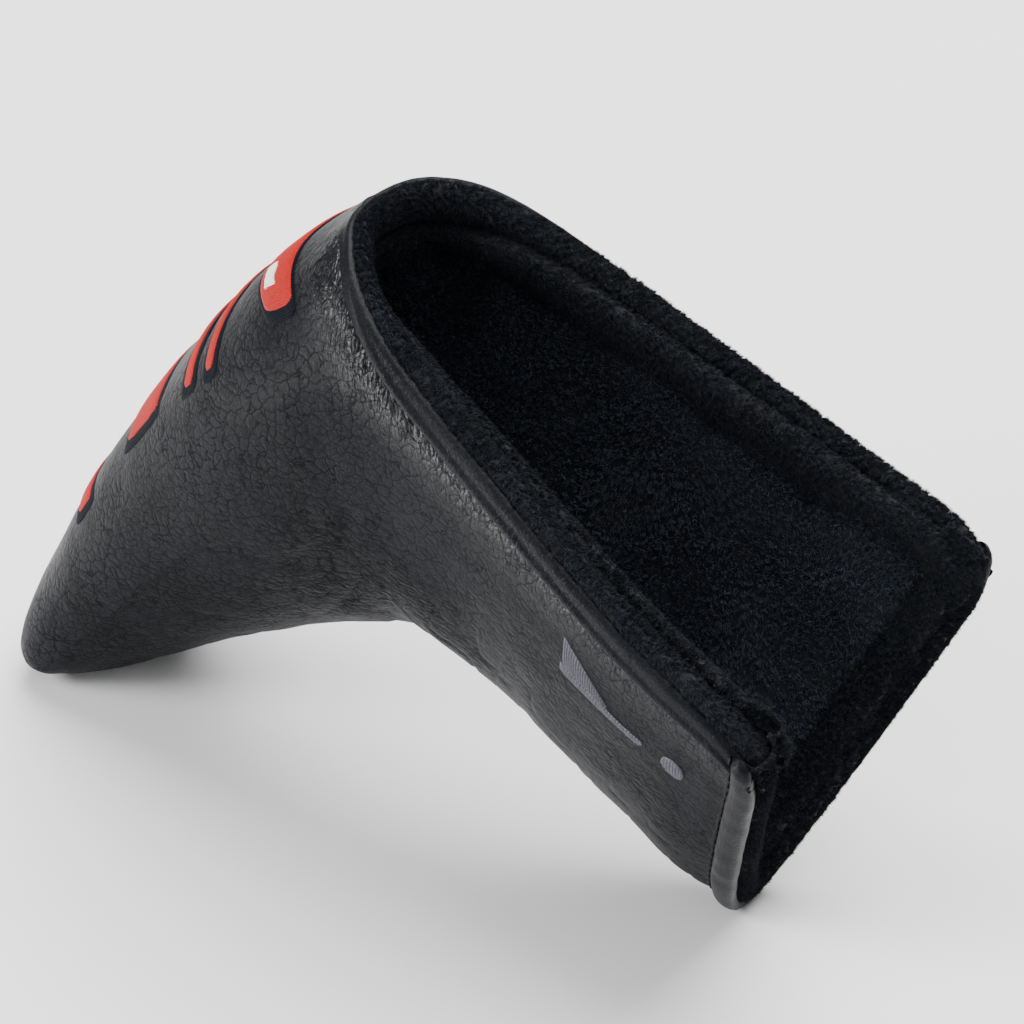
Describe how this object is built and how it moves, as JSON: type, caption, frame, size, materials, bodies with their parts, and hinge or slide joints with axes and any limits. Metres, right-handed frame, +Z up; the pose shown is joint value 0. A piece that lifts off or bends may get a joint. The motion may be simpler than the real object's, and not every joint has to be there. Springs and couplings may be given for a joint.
{
  "type": "putter head cover",
  "caption": "Padded leather cover for a blade putter head, plush lined, with a long neck whose two side flaps bend together and close with hidden magnets.",
  "frame": {"origin": "on the ground plane, under the middle of the cover's bounding box", "axes": "+X from the toe of the foot to the open neck end, +Y across the thickness toward the front panel, +Z up; the cover stands mouth upward on its toe tip and its low neck corner"},
  "size_m": [0.1724, 0.0794, 0.1129],
  "materials": {
    "leather": "black pebbled synthetic leather, soft satin sheen",
    "edge_leather": "black leather turned over an edge, slightly glossier",
    "foam": "matte grey open-cell padding, hidden between leather and lining",
    "lining_plush": "blue-black short-pile plush",
    "binding_plush": "blue-black plush binding along the mouth",
    "red_thread": "red satin-stitch embroidery",
    "navy_thread": "navy satin-stitch border",
    "white_thread": "white satin-stitch accent",
    "grey_thread": "warm grey satin-stitch embroidery",
    "black_thread": "black sewing thread",
    "magnet": "nickel-plated disc magnet"
  },
  "bodies": {
    "cup": {"cup_leather": "leather", "cup_foam": "foam", "cup_lining": "lining_plush", "heel_roll": "edge_leather", "heel_band": "binding_plush", "fold_hem": "edge_leather", "fold_end_band": "binding_plush", "fold_hem_thread": "black_thread", "sole_borders": "navy_thread", "sole_bars": "red_thread", "sole_accent": "white_thread"},
    "back_flap": {"back_leather": "leather", "back_foam": "foam", "back_lining": "lining_plush", "back_roll": "edge_leather", "back_band": "binding_plush", "back_hem": "edge_leather", "back_end_band": "binding_plush", "back_hem_thread": "black_thread", "back_magnets": "magnet", "back_mark": "grey_thread"},
    "front_flap": {"front_leather": "leather", "front_foam": "foam", "front_lining": "lining_plush", "front_roll": "edge_leather", "front_band": "binding_plush", "front_hem": "edge_leather", "front_end_band": "binding_plush", "front_hem_thread": "black_thread", "front_magnets": "magnet"}
  },
  "joints": [
    {"name": "back_fold", "type": "hinge", "parent": "cup", "child": "back_flap", "pos_m": [0.0439, -0.0048, 0.0259], "axis": [-0.893, 0, 0.45], "range_deg": [0, 25]},
    {"name": "front_fold", "type": "hinge", "parent": "cup", "child": "front_flap", "pos_m": [0.0439, 0.0048, 0.0259], "axis": [0.893, 0, -0.45], "range_deg": [0, 25]}
  ]
}
